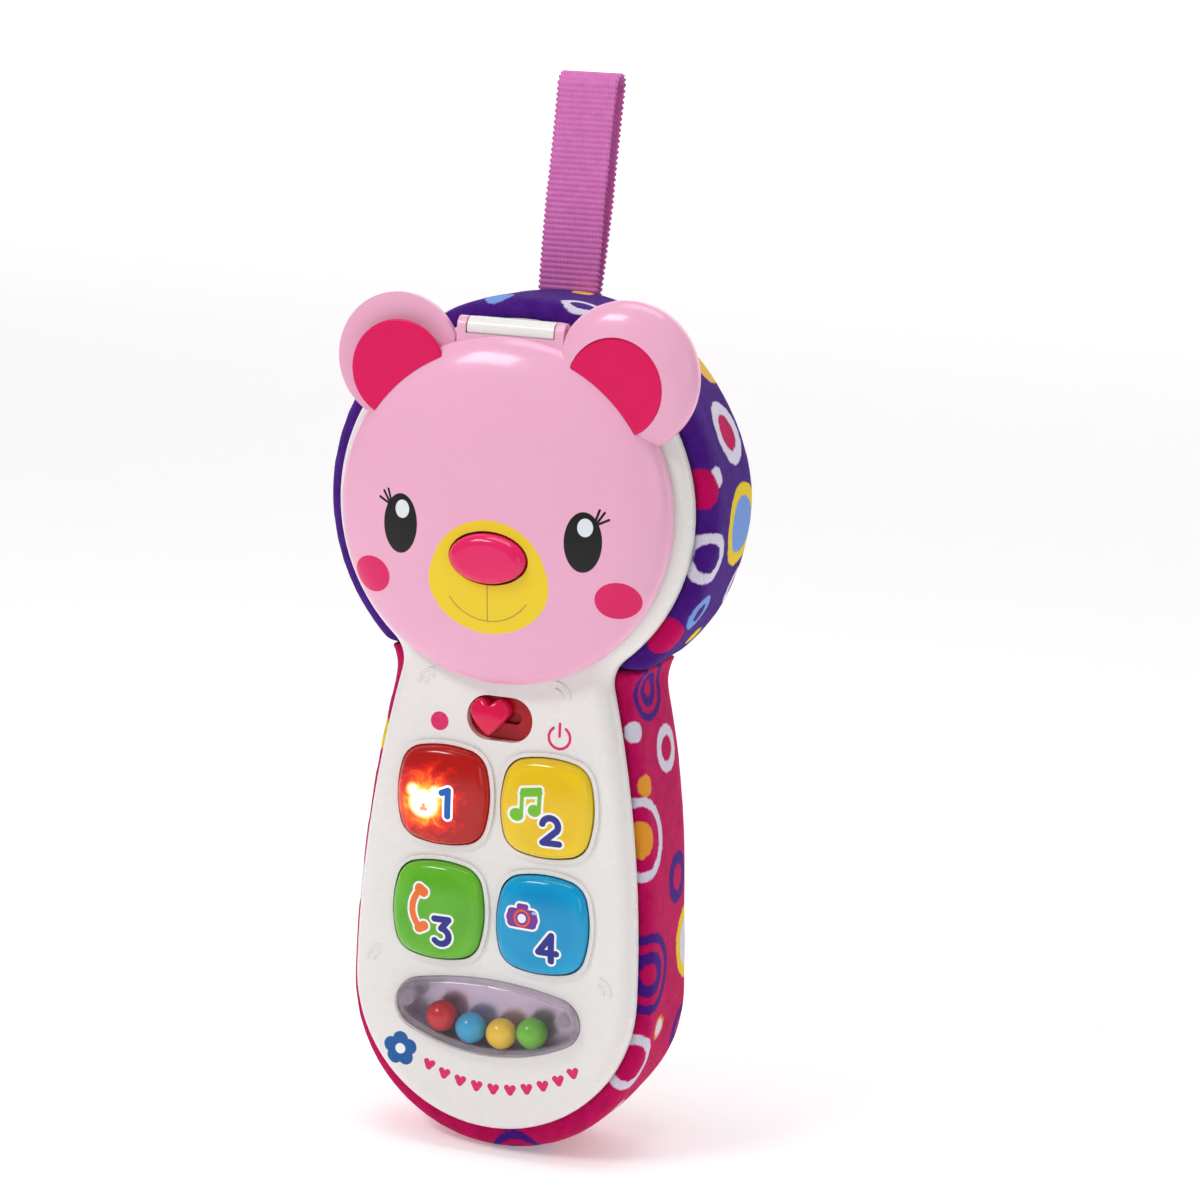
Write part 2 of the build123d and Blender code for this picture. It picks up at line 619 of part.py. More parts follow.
with BuildPart() as heart_knob:
    with BuildSketch(at_y(HEART_BACK)):
        heart(HEART_X, SLOT_Z, HEART_WIDTH)
    extrude(amount=HEART_BACK - HEART_FRONT)
    with Locations((HEART_X, HEART_FRONT + HEART_CROWN, SLOT_Z)):
        Sphere(HEART_CROWN, mode=Mode.INTERSECT)
    fillet(heart_knob.faces().sort_by(Axis.Y)[0].edges(), radius=HEART_EDGE)
    with BuildSketch(at_y(PANEL_BACK + 1.5)):
        with Locations((HEART_X, SLOT_Z)):
            Rectangle(2.4, 2.2)
    extrude(amount=PANEL_BACK + 1.5 - HEART_BACK)
finish(heart_knob, "heart_knob")

with BuildPart() as slide_carriage:
    with BuildSketch(at_y(PANEL_BACK + 2.7)):
        with Locations((HEART_X, SLOT_Z)):
            Rectangle(14.0, 6.0)
    extrude(amount=1.2)
    with BuildSketch(at_y(PANEL_BACK + 3.6)):
        with Locations((HEART_X, SLOT_Z)):
            Rectangle(1.4, 1.4)
    extrude(amount=0.9)
finish(slide_carriage, "slide_carriage")

with BuildPart() as power_switch_body:
    with BuildSketch(at_y(BOARD_FRONT)):
        with Locations((0, SLOT_Z)):
            Rectangle(12.0, 4.4)
            SlotOverall(8.2, 2.2, mode=Mode.SUBTRACT)
    extrude(amount=1.0)
finish(power_switch_body, "power_switch_body")

# Bead window, tray and the four loose balls
with BuildPart() as bead_window:
    with BuildSketch(at_y(PANEL_FRONT + 0.9)):
        lens(-0.8)
    extrude(amount=1.8 + WINDOW_CROWN)
    fillet(bead_window.faces().sort_by(Axis.Y)[0].edges(), radius=WINDOW_CROWN - 0.3)
    with BuildSketch(at_y(PANEL_FRONT + 0.9)):
        lens(-2.2)
    extrude(amount=1.8 + WINDOW_CROWN - 1.4, mode=Mode.SUBTRACT)
    with BuildSketch(at_y(TRAY_BACK - TRAY_WALL - 0.1)):
        with Locations(*WINDOW_POSTS):
            Circle(POST_RADIUS)
    extrude(amount=TRAY_BACK - TRAY_WALL - 0.1 - PANEL_FRONT + WINDOW_CROWN - 0.8)
finish(bead_window, "bead_window")

with BuildPart() as bead_tray:
    with BuildSketch(at_y(TRAY_BACK)):
        lens(0.9)
    extrude(amount=TRAY_BACK - PANEL_BACK - 0.05)
    with BuildSketch(at_y(TRAY_BACK - TRAY_WALL)):
        lens(-TRAY_WALL)
    extrude(amount=TRAY_BACK - TRAY_WALL - PANEL_FRONT, mode=Mode.SUBTRACT)
finish(bead_tray, "bead_tray")

for name, angle in BEADS.items():
    with BuildPart() as bead:
        swing = radians(angle)
        centre = (BEAD_CENTRE_RADIUS * sin(swing), BEAD_Y, TRACK_Z - BEAD_CENTRE_RADIUS * cos(swing))
        with Locations(centre):
            Sphere(BEAD_RADIUS)
    finish(bead, name)

# Cells, contacts, door and its captive screw
cell_places = [(0, BAY_Z - CELL_RADIUS - 0.15), (0, BAY_Z + CELL_RADIUS + 0.15)]
for name, place, way in (("battery_lower", cell_places[0], 1), ("battery_upper", cell_places[1], -1)):
    with BuildPart() as battery:
        cell_y = DOOR_FRONT - CELL_RADIUS - 0.5
        with BuildSketch(Plane.YZ.offset(-way * CELL_LENGTH / 2)):
            with Locations((cell_y, place[1])):
                Circle(CELL_RADIUS)
        extrude(amount=way * (CELL_LENGTH - 1.0))
        with BuildSketch(Plane.YZ.offset(way * (CELL_LENGTH / 2 - 1.0))):
            with Locations((cell_y, place[1])):
                Circle(1.9)
        extrude(amount=way * 1.0)
    finish(battery, name)

with BuildPart() as battery_contacts:
    for end in (-1, 1):
        with BuildSketch(Plane.YZ.offset(end * (BAY_WIDTH / 2 - 0.1))):
            with Locations((DOOR_FRONT - CELL_RADIUS - 0.5, BAY_Z)):
                Rectangle(8, 20)
        extrude(amount=-end * 0.4)
    for end, place in ((-1, cell_places[0]), (1, cell_places[1])):
        with BuildSketch(Plane.YZ.offset(end * (BAY_WIDTH / 2 - 0.5))):
            with Locations((DOOR_FRONT - CELL_RADIUS - 0.5, place[1])):
                Circle(3.2)
                Circle(2.5, mode=Mode.SUBTRACT)
        extrude(amount=-end * (BAY_WIDTH / 2 - 0.5 - CELL_LENGTH / 2 - 0.05))
finish(battery_contacts, "battery_contacts")

with BuildPart() as battery_door:
    with BuildSketch(at_y(ISLAND_BACK)):
        with Locations((0, ISLAND_Z)):
            RectangleRounded(DOOR_WIDTH, DOOR_HEIGHT, 4)
    extrude(amount=DOOR_THICK - 0.1)
    with BuildSketch(at_y(ISLAND_BACK)):
        with Locations((0, DOOR_SCREW_Z)):
            Circle(3.0)
    extrude(amount=1.0, mode=Mode.SUBTRACT)
    with BuildSketch(at_y(ISLAND_BACK)):
        with Locations((0, DOOR_SCREW_Z)):
            Circle(1.5)
    extrude(amount=DOOR_THICK, mode=Mode.SUBTRACT)
    with BuildSketch(at_y(ISLAND_BACK)):
        with GridLocations(34, 0, 2, 1):
            with Locations((0, ISLAND_Z - 3)):
                SlotOverall(10, 1.6, rotation=90)
    extrude(amount=0.6, mode=Mode.SUBTRACT)
finish(battery_door, "battery_door")

with BuildPart() as door_screw:
    with BuildSketch(at_y(ISLAND_BACK - 0.1)):
        with Locations((0, DOOR_SCREW_Z)):
            Circle(2.7)
    extrude(amount=0.85)
    with BuildSketch(at_y(ISLAND_BACK - 0.95)):
        with Locations((0, DOOR_SCREW_Z)):
            Circle(1.4)
    extrude(amount=8.0)
    with BuildSketch(at_y(ISLAND_BACK - 0.1)):
        with Locations((0, DOOR_SCREW_Z)):
            Rectangle(3.4, 0.7)
            Rectangle(0.7, 3.4)
    extrude(amount=0.6, mode=Mode.SUBTRACT)
finish(door_screw, "door_screw")

# Speaker against the sound holes
with BuildPart() as speaker:
    with BuildSketch(at_y(REAR_FLOOR_BACK - WALL - 0.1)):
        with Locations((0, HEAD_Z)):
            Circle(14)
    extrude(amount=3.0)
    with BuildSketch(at_y(REAR_FLOOR_BACK - WALL - 3.1)):
        with Locations((0, HEAD_Z)):
            Circle(8)
    extrude(amount=5.0)
    fillet(speaker.faces().sort_by(Axis.Y)[0].edges(), radius=0.8)
finish(speaker, "speaker")

# Leads from the board to the speaker and to the battery contacts
LEAD_Y = BOARD_FRONT + BOARD_THICK + 3.4
with BuildPart() as leads:
    for lead_x in (-3.0, 3.0):
        with BuildLine() as route:
            FilletPolyline((lead_x, BOARD_FRONT + BOARD_THICK + 0.3, 106), (lead_x, LEAD_Y, 106),
                           (lead_x * 1.5, LEAD_Y, 126),
                           (lead_x * 1.2, REAR_FLOOR_BACK - WALL - 10.5, 142), radius=2.5)
        with BuildSketch(Plane(route.line @ 0, z_dir=route.line % 0)):
            Circle(0.7)
        sweep(path=route.line)
finish(leads, "leads")

# Plush gusset: one padded ring round the rear housing, sewn across the neck
with BuildPart() as plush:
    with BuildSketch(at_y(PLUSH_BACK)):
        keyhole(*PLUSH_SHAPE)
    extrude(amount=PLUSH_BACK - PLUSH_FRONT)
    fillet(plush.faces().sort_by(Axis.Y)[-1].edges(), radius=PLUSH_BACK_ROUND)
    fillet(plush.faces().sort_by(Axis.Y)[0].edges(), radius=PLUSH_FRONT_ROUND)
    with BuildSketch(at_y(REAR_FLOOR_BACK + PLUSH_GAP)):
        keyhole(*PANEL_SHAPE, grow=PLUSH_GAP - SKIRT_INSET)
    extrude(amount=REAR_FLOOR_BACK + PLUSH_GAP - PLUSH_FRONT, mode=Mode.SUBTRACT)
    with BuildSketch(at_y(PLUSH_BACK)):
        with Locations((0, ISLAND_Z)):
            RectangleRounded(ISLAND_WIDTH + 2 * PLUSH_GAP, ISLAND_HEIGHT + 2 * PLUSH_GAP, 6.3)
    extrude(amount=PLUSH_BACK - REAR_FLOOR_BACK, mode=Mode.SUBTRACT)

for name, side in (("plush_head", Keep.TOP), ("plush_body", Keep.BOTTOM)):
    with BuildPart() as half:
        add(plush.part)
        split(bisect_by=Plane.XY.offset(NECK_SEAM_Z), keep=side)
    finish(half, name)

# Ribbon loop, leaning back a little
with BuildPart() as strap_loop:
    with BuildSketch(Plane.YZ.offset(-STRAP_WIDTH / 2)):
        tilt = radians(STRAP_LEAN)
        middle = (STRAP_Y + sin(tilt) * STRAP_HEIGHT / 2, STRAP_BASE_Z + cos(tilt) * STRAP_HEIGHT / 2)
        with Locations(middle):
            SlotOverall(STRAP_HEIGHT, STRAP_OUTER, rotation=90 - STRAP_LEAN)
            SlotOverall(STRAP_HEIGHT - 2 * STRAP_THICK, STRAP_OUTER - 2 * STRAP_THICK,
                        rotation=90 - STRAP_LEAN, mode=Mode.SUBTRACT)
    extrude(amount=STRAP_WIDTH)
finish(strap_loop, "strap_loop")
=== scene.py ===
"""Bear-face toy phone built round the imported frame: metres in Blender, millimetres in the constants."""
import math

import bpy
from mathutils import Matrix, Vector, noise


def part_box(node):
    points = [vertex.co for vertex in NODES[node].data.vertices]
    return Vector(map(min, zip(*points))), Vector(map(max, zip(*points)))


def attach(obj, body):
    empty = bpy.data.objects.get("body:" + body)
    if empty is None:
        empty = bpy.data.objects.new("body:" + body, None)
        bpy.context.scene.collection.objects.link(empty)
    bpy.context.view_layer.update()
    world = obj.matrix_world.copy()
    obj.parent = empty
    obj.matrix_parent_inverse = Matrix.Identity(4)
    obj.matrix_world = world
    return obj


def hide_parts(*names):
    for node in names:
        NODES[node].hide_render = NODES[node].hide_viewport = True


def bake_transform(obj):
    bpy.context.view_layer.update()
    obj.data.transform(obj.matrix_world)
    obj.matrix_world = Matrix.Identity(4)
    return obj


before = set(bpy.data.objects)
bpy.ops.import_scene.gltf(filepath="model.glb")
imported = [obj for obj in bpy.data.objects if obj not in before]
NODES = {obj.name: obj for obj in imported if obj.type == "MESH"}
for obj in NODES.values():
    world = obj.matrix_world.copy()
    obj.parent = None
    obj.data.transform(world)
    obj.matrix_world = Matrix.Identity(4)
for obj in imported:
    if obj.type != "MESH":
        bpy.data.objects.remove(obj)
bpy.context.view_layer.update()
MM = 0.001

# Places taken from the frame, in millimetres
rim_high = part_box("front_housing")[1]
plush_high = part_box("plush_head")[1]
RIM_Y = rim_high.y / MM - 6.0
PANEL_FRONT = RIM_Y - 4.7
HEAD_Z = 152.3
HEAD_RADIUS = 47.0
BODY_HALF = 37.3
EYE_X, EYE_Z = 21.7, 148.6
FLOWER = (-21.4, 23.0)
WINDOW_TOP, WINDOW_FOOT, WINDOW_HALF = 43.7, 24.1, 23.46
ROOF_RADIUS, TRACK_RADIUS = 80.0, 44.0


def srgb(r, g, b):
    """Linear colour from 8-bit display values."""
    def linear(value):
        value /= 255
        return value / 12.92 if value <= 0.04045 else ((value + 0.055) / 1.055) ** 2.4
    return (linear(r), linear(g), linear(b), 1.0)


WHITE = srgb(236, 233, 230)
PINK = srgb(240, 177, 206)
HOT_PINK = srgb(222, 10, 90)
NAVY = srgb(34, 38, 138)
YELLOW = srgb(245, 212, 45)
ORANGE = srgb(240, 150, 45)
LILAC = srgb(228, 222, 240)
LIGHT_BLUE = srgb(125, 165, 232)
PURPLE = srgb(74, 24, 132)
MAGENTA = srgb(200, 8, 92)


# ---------------------------------------------------------------- node helpers

SOCKETS = {
    "colour": "Base Color", "rough": "Roughness", "metal": "Metallic", "ior": "IOR", "alpha": "Alpha",
    "coat": "Coat Weight", "coat_rough": "Coat Roughness", "sheen": "Sheen Weight",
    "sheen_rough": "Sheen Roughness", "sub": "Subsurface Weight", "sub_scale": "Subsurface Scale",
    "glow": "Emission Strength", "glow_colour": "Emission Color",
}


class Shader:
    """A material's node tree, with short calls for the nodes used here."""

    def __init__(self, name):
        self.material = bpy.data.materials.new(name)
        self.material.use_nodes = True
        self.tree = self.material.node_tree
        self.bsdf = self.tree.nodes["Principled BSDF"]
        coords = self.add("ShaderNodeTexCoord")
        self.place = coords.outputs["Object"]
        scaled = self.add("ShaderNodeVectorMath", operation="SCALE")
        self.tree.links.new(self.place, scaled.inputs[0])
        scaled.inputs["Scale"].default_value = 1000.0
        self.mm = scaled.outputs[0]

    def add(self, kind, **settings):
        node = self.tree.nodes.new(kind)
        for key, value in settings.items():
            setattr(node, key, value)
        return node

    def feed(self, socket, value):
        if isinstance(value, bpy.types.NodeSocket):
            self.tree.links.new(value, socket)
        else:
            socket.default_value = value

    def math(self, operation, *values, clamp=False):
        node = self.add("ShaderNodeMath", operation=operation, use_clamp=clamp)
        for socket, value in zip(node.inputs, values):
            self.feed(socket, value)
        return node.outputs[0]

    def vector(self, operation, *values):
        node = self.add("ShaderNodeVectorMath", operation=operation)
        for socket, value in zip(node.inputs, values):
            self.feed(socket, value)
        scalar = operation in ("LENGTH", "DOT_PRODUCT", "DISTANCE")
        return node.outputs["Value"] if scalar else node.outputs[0]

    def mix(self, amount, low, high):
        node = self.add("ShaderNodeMix", data_type="RGBA")
        self.feed(node.inputs["Factor"], amount)
        self.feed(node.inputs[6], low)
        self.feed(node.inputs[7], high)
        return node.outputs[2]

    def noise(self, scale, detail=2.0, roughness=0.5, distortion=0.0, place=None):
        node = self.add("ShaderNodeTexNoise")
        self.feed(node.inputs["Vector"], place or self.place)
        node.inputs["Scale"].default_value = scale
        node.inputs["Detail"].default_value = detail
        node.inputs["Roughness"].default_value = roughness
        node.inputs["Distortion"].default_value = distortion
        return node.outputs["Fac"]

    def steps(self, value, low, high, out_low=0.0, out_high=1.0):
        node = self.add("ShaderNodeMapRange", interpolation_type="SMOOTHSTEP")
        for socket, item in zip(node.inputs, (value, low, high, out_low, out_high)):
            self.feed(socket, item)
        return node.outputs[0]

    def bump(self, height, distance, strength=1.0):
        node = self.add("ShaderNodeBump")
        node.inputs["Distance"].default_value = distance
        node.inputs["Strength"].default_value = strength
        self.feed(node.inputs["Height"], height)
        if self.bsdf.inputs["Normal"].is_linked:
            self.feed(node.inputs["Normal"], self.bsdf.inputs["Normal"].links[0].from_socket)
        self.feed(self.bsdf.inputs["Normal"], node.outputs[0])

    def set(self, **values):
        for key, value in values.items():
            self.feed(self.bsdf.inputs[SOCKETS[key]], value)

    # printed artwork: distances in millimetres in the plane of the front
    def flat(self):
        """The shading point with its depth removed."""
        if not hasattr(self, "_flat"):
            self._flat = self.vector("MULTIPLY", self.mm, (1.0, 0.0, 1.0))
        return self._flat

    def disc(self, x, z, radius_x, radius_z=None):
        """Distance outside an ellipse, roughly in millimetres."""
        radius_z = radius_z or radius_x
        away = self.vector("SUBTRACT", self.flat(), (x, 0.0, z))
        away = self.vector("MULTIPLY", away, (1 / radius_x, 0.0, 1 / radius_z))
        reach = self.math("SUBTRACT", self.vector("LENGTH", away), 1.0)
        return self.math("MULTIPLY", reach, min(radius_x, radius_z))

    def stroke(self, points, radius):
        """Distance outside a line of the given half width through points."""
        nearest = None
        for start, end in zip(points, points[1:]):
            node = self.add("ShaderNodeGroup", node_tree=segment_group())
            self.feed(node.inputs["Point"], self.flat())
            node.inputs["Start"].default_value = (start[0], 0.0, start[1])
            node.inputs["End"].default_value = (end[0], 0.0, end[1])
            nearest = node.outputs[0] if nearest is None else self.math("MINIMUM", nearest, node.outputs[0])
        return self.math("SUBTRACT", nearest, radius)

    def nearest(self, *distances):
        result = distances[0]
        for distance in distances[1:]:
            result = self.math("MINIMUM", result, distance)
        return result

    def ink(self, base, distance, colour, grow=0.0, soft=0.05):
        """Paint colour over base wherever distance is below grow."""
        return self.mix(self.steps(distance, grow - soft, grow + soft, 1.0, 0.0), base, colour)


def segment_group():
    """Node group: distance from a point to a segment."""
    name = "segment distance"
    if name in bpy.data.node_groups:
        return bpy.data.node_groups[name]
    group = bpy.data.node_groups.new(name, "ShaderNodeTree")
    for label in ("Point", "Start", "End"):
        group.interface.new_socket(label, in_out="INPUT", socket_type="NodeSocketVector")
    group.interface.new_socket("Distance", in_out="OUTPUT", socket_type="NodeSocketFloat")
    source = group.nodes.new("NodeGroupInput")
    sink = group.nodes.new("NodeGroupOutput")

    def vector(operation, a, b, scale=None):
        node = group.nodes.new("ShaderNodeVectorMath")
        node.operation = operation
        group.links.new(a, node.inputs[0])
        if b is not None:
            group.links.new(b, node.inputs[1])
        if scale is not None:
            group.links.new(scale, node.inputs["Scale"])
        return node.outputs["Value"] if operation in ("LENGTH", "DOT_PRODUCT") else node.outputs[0]

    offset = vector("SUBTRACT", source.outputs["Point"], source.outputs["Start"])
    run = vector("SUBTRACT", source.outputs["End"], source.outputs["Start"])
    share = group.nodes.new("ShaderNodeMath")
    share.operation = "DIVIDE"
    share.use_clamp = True
    group.links.new(vector("DOT_PRODUCT", offset, run), share.inputs[0])
    group.links.new(vector("DOT_PRODUCT", run, run), share.inputs[1])
    along = vector("SCALE", run, None, share.outputs[0])
    rest = vector("SUBTRACT", offset, along)
    group.links.new(vector("LENGTH", rest, None), sink.inputs["Distance"])
    return group


def arc_points(x, z, radius, start, end, steps=8):
    """Points along an arc; angles in degrees from +X towards +Z."""
    points = []
    for step in range(steps + 1):
        angle = math.radians(start + (end - start) * step / steps)
        points.append((x + radius * math.cos(angle), z + radius * math.sin(angle)))
    return points


def moved(points, x, z):
    return [(x + px, z + pz) for px, pz in points]


def dress(material, *names):
    """Give CAD nodes a material in place of their packed one."""
    for name in names:
        slots = NODES[name].data.materials
        slots.clear()
        slots.append(material)
        for face in NODES[name].data.polygons:
            face.material_index = 0


# ---------------------------------------------------------------- plain materials

def moulded(name, colour, rough=0.22, coat=0.6, sub=0.0, grain=0.02, wear=0.04):
    """Injection-moulded plastic: faint orange peel, slight mottling and a clear gloss."""
    s = Shader(name)
    blotch = s.noise(90.0, 3.0, 0.6)
    deep = tuple(c * (1 - wear) for c in colour[:3]) + (1.0,)
    s.set(colour=s.mix(blotch, deep, colour),
          rough=s.steps(s.noise(400.0, 3.0), 0.2, 0.8, rough - 0.04, rough + 0.06),
          coat=coat * 0.25, coat_rough=0.05, ior=1.32)
    if sub:
        s.set(sub=sub, sub_scale=0.003)
    s.bump(s.noise(700.0, 2.0), 0.00005, grain * 5)
    return s


def metal(name, colour, rough=0.3):
    s = Shader(name)
    s.set(colour=colour, metal=1.0, rough=s.steps(s.noise(900.0, 4.0), 0.2, 0.8, rough - 0.08, rough + 0.1))
    s.bump(s.noise(1500.0, 2.0), 0.00002, 0.3)
    return s.material


# ---------------------------------------------------------------- printed plastic

def face_material():
    """Pink face with its printed eyes, lashes, cheeks, muzzle and smile."""
    s = moulded("face_pink", PINK, rough=0.2, coat=0.7, sub=0.12)
    skin = s.bsdf.inputs["Base Color"].links[0].from_socket
    paint = skin
    for side in (-1, 1):
        paint = s.ink(paint, s.disc(side * 29.4, 135.9, 4.9, 4.2), srgb(222, 12, 98))
        eye = s.disc(side * EYE_X, EYE_Z, 4.25, 6.75)
        lashes = []
        for foot, tip in (((2.6, 5.0), (3.4, 7.4)), ((3.0, 4.6), (4.5, 6.9)), ((3.3, 4.3), (5.5, 5.4))):
            lashes.append(s.stroke([(side * (EYE_X + foot[0]), EYE_Z + foot[1]),
                                    (side * (EYE_X + tip[0]), EYE_Z + tip[1])], 0.28))
        paint = s.ink(paint, s.nearest(eye, *lashes), srgb(6, 5, 6))
        paint = s.ink(paint, s.disc(side * EYE_X + 0.4, 151.9, 1.75, 2.05), srgb(226, 232, 238))
    muzzle = s.nearest(s.disc(0.0, 138.6, 13.7, 12.9), s.disc(0.0, 137.4, 14.3, 11.6))
    paint = s.ink(paint, muzzle, srgb(240, 208, 34))
    smile = s.stroke(arc_points(0.0, 139.8, 11.2, 215, 325, 10), 0.13)
    philtrum = s.stroke([(0.0, 137.6), (0.0, 128.7)], 0.13)
    paint = s.ink(paint, s.nearest(smile, philtrum), srgb(176, 140, 60))
    s.set(colour=paint)
    return s.material


def panel_material():
    """White housing with its printed dot, power mark, flower and row of hearts."""
    s = moulded("housing_white", WHITE, rough=0.24, coat=0.5, sub=0.06, wear=0.02)
    paint = s.bsdf.inputs["Base Color"].links[0].from_socket
    ink_pink = srgb(222, 34, 108)
    paint = s.ink(paint, s.disc(-14.6, 102.2, 2.2), ink_pink)
    circle = s.stroke(arc_points(14.6, 101.8, 2.6, 125, 415, 12), 0.33)
    bar = s.stroke([(14.6, 102.1), (14.6, 105.0)], 0.33)
    paint = s.ink(paint, s.nearest(circle, bar), ink_pink)
    # a five-petal flower beside the window
    petals = [s.disc(*place, 1.9) for place in arc_points(*FLOWER, 2.3, 90, 378, 4)]
    paint = s.ink(paint, s.nearest(*petals), srgb(16, 92, 160))
    paint = s.ink(paint, s.disc(*FLOWER, 1.25), srgb(245, 245, 245))
    # a row of hearts under the window
    hearts = []
    for x, z in arc_points(1.0, 51.0, 34.2, 244, 307, 9):
        lean = math.radians(0.8 * (x - 1.0))
        heart_line = [(-0.75, 0.6), (0.0, -0.6), (0.75, 0.6)]
        turned = [(px * math.cos(lean) - pz * math.sin(lean), px * math.sin(lean) + pz * math.cos(lean))
                  for px, pz in heart_line]
        hearts.append(s.stroke(moved(turned, x, z), 0.72))
    paint = s.ink(paint, s.nearest(*hearts), ink_pink)
    s.set(colour=paint)
    return s.material


DIGITS = {
    1: [[(-1.15, 2.35), (0.35, 3.0), (0.35, -3.0)]],
    2: [arc_points(0.0, 1.2, 1.9, 168, -32, 10) + [(-1.8, -2.9), (2.1, -2.9)]],
    3: [[(-1.7, 2.9), (1.7, 2.9), (0.0, 0.7)] + arc_points(-0.1, -1.2, 1.9, 80, -142, 10)],
    4: [[(1.1, -3.1), (1.1, 3.0), (-1.9, -1.2), (2.3, -1.2)]],
}
BUTTON_PLACES = {1: (-12.65, 85.3), 2: (12.65, 85.3), 3: (-12.8, 58.0), 4: (12.8, 58.0)}
DIGIT_SHIFT = {1: (1.9, -1.2), 2: (2.0, -4.4), 3: (2.0, -4.2), 4: (2.2, -4.4)}


def digit(s, number):
    x, z = BUTTON_PLACES[number]
    dx, dz = DIGIT_SHIFT[number]
    return s.nearest(*[s.stroke(moved(line, x + dx, z + dz), 0.78) for line in DIGITS[number]])


def printed(s, paint, art, colour, rim=0.5):
    """Artwork with a white border."""
    paint = s.ink(paint, art, srgb(248, 248, 246), grow=rim)
    return s.ink(paint, art, colour)


def button_note(s, paint):
    x, z = BUTTON_PLACES[2]
    art = s.nearest(s.disc(x - 6.3, z - 1.6, 1.75, 1.5), s.disc(x - 1.9, z - 0.1, 1.6, 1.4),
                    s.stroke(moved([(-5.1, -1.4), (-5.1, 4.2), (-0.8, 4.9), (-0.8, 0.0)], x, z), 0.5),
                    s.stroke(moved([(-5.0, 3.4), (-0.9, 4.1)], x, z), 0.75))
    return printed(s, paint, art, srgb(116, 190, 40), 0.55)


def button_handset(s, paint):
    x, z = BUTTON_PLACES[3]
    art = s.nearest(s.stroke(arc_points(x + 0.6, z + 0.6, 6.0, 132, 228, 7), 0.8),
                    s.stroke(moved([(-3.9, 5.2), (-2.7, 4.5)], x, z), 1.15),
                    s.stroke(moved([(-3.6, -4.1), (-2.3, -3.4)], x, z), 1.15))
    return printed(s, paint, art, srgb(238, 116, 40), 0.5)


def button_camera(s, paint):
    x, z = BUTTON_PLACES[4]
    body = s.stroke(moved([(-6.6, 0.6), (-1.4, 0.6), (-1.4, 2.8), (-6.6, 2.8), (-6.6, 0.6)], x, z), 1.1)
    fill = s.stroke(moved([(-6.4, 1.7), (-1.6, 1.7)], x, z), 1.6)
    hump = s.stroke(moved([(-4.8, 4.4), (-3.2, 4.4)], x, z), 0.7)
    paint = printed(s, paint, s.nearest(body, fill, hump), srgb(116, 44, 152), 0.5)
    flash = s.stroke(moved([(-1.3, 3.3), (-0.7, 3.3)], x, z), 0.32)
    paint = s.ink(paint, flash, srgb(150, 196, 236))
    lens = s.disc(x - 4.0, z + 1.7, 2.1)
    paint = s.ink(paint, lens, srgb(236, 84, 40))
    paint = s.ink(paint, lens, srgb(116, 44, 152), grow=-0.55)
    return s.ink(paint, lens, srgb(240, 240, 245), grow=-1.05)


def lit_button():
    """Red marbled button with a white bear head, its inner lighting painted in: the colour glows brighter
    towards the bear and the surface emits it.
    """
    s = Shader("button_red_lit")
    x, z = BUTTON_PLACES[1]
    swirl = s.noise(170.0, 5.0, 0.62, 1.6)
    # painted glow: the marbling is pushed towards yellow near the bear head, standing in for the lamp behind
    # the button
    spread = s.math("MULTIPLY", s.disc(x - 3.4, z - 1.2, 1.0), 0.09)
    marbling_and_painted_glow = s.math("SUBTRACT", s.math("ADD", s.math("MULTIPLY", swirl, 1.15), 0.42), spread, clamp=True)
    ramp = s.add("ShaderNodeValToRGB")
    s.feed(ramp.inputs[0], marbling_and_painted_glow)
    stops = ramp.color_ramp.elements
    stops[0].position, stops[0].color = 0.22, srgb(150, 16, 12)
    stops[1].position, stops[1].color = 1.0, srgb(255, 238, 120)
    for position, colour in ((0.45, srgb(196, 26, 12)), (0.62, srgb(230, 78, 16)), (0.8, srgb(250, 160, 30))):
        stops.new(position).color = colour
    paint = ramp.outputs["Color"]
    ears = [s.disc(x - 3.7 + side * 2.8, z + 0.9, 1.15) for side in (-1, 1)]
    bear = s.nearest(s.disc(x - 3.7, z - 1.9, 3.3, 3.0), *ears)
    # painted glow: a warm halo round the bear head
    paint = s.ink(paint, bear, srgb(255, 222, 130), grow=0.5, soft=0.5)
    paint = s.ink(paint, bear, srgb(255, 252, 238))
    snout = s.stroke(moved([(-4.3, -3.2), (-3.1, -3.2)], x, z), 0.42)
    paint = s.ink(paint, s.nearest(snout, s.disc(x - 3.7, z - 2.4, 0.5)), srgb(214, 150, 84))
    paint = printed(s, paint, digit(s, 1), srgb(0, 76, 150), 0.5)
    # the button emits its own painted colour as glow
    s.set(colour=paint, glow_colour=paint, glow=0.5, rough=0.16, coat=0.3, coat_rough=0.03, ior=1.34)
    s.bump(s.noise(500.0, 2.0), 0.00004, 0.2)
    return s.material


def plain_button(name, colour, edge, number, artwork):
    """Translucent button with painted light: deeper colour in the middle and brighter towards the rim,
    standing in for light shining through the thinner edge.
    """
    s = Shader(name)
    x, z = BUTTON_PLACES[number]
    # painted light: the rim takes the brighter edge colour
    rim = s.steps(s.disc(x, z, 11.1, 11.5), -3.2, 0.0)
    paint = s.mix(rim, s.mix(s.noise(120.0, 2.0), colour, edge), edge)
    paint = artwork(s, paint)
    paint = printed(s, paint, digit(s, number), NAVY, 0.5)
    s.set(colour=paint, rough=0.16, coat=0.3, coat_rough=0.03, ior=1.34, sub=0.2, sub_scale=0.002)
    s.bump(s.noise(500.0, 2.0), 0.00004, 0.2)
    return s.material


def tray_material():
    s = Shader("tray_lilac")
    s.set(colour=s.mix(s.noise(200.0, 3.0), srgb(172, 150, 176), srgb(200, 182, 200)),
          metal=0.7, rough=0.26, coat=0.3)
    s.bump(s.noise(600.0), 0.00004, 0.3)
    return s.material


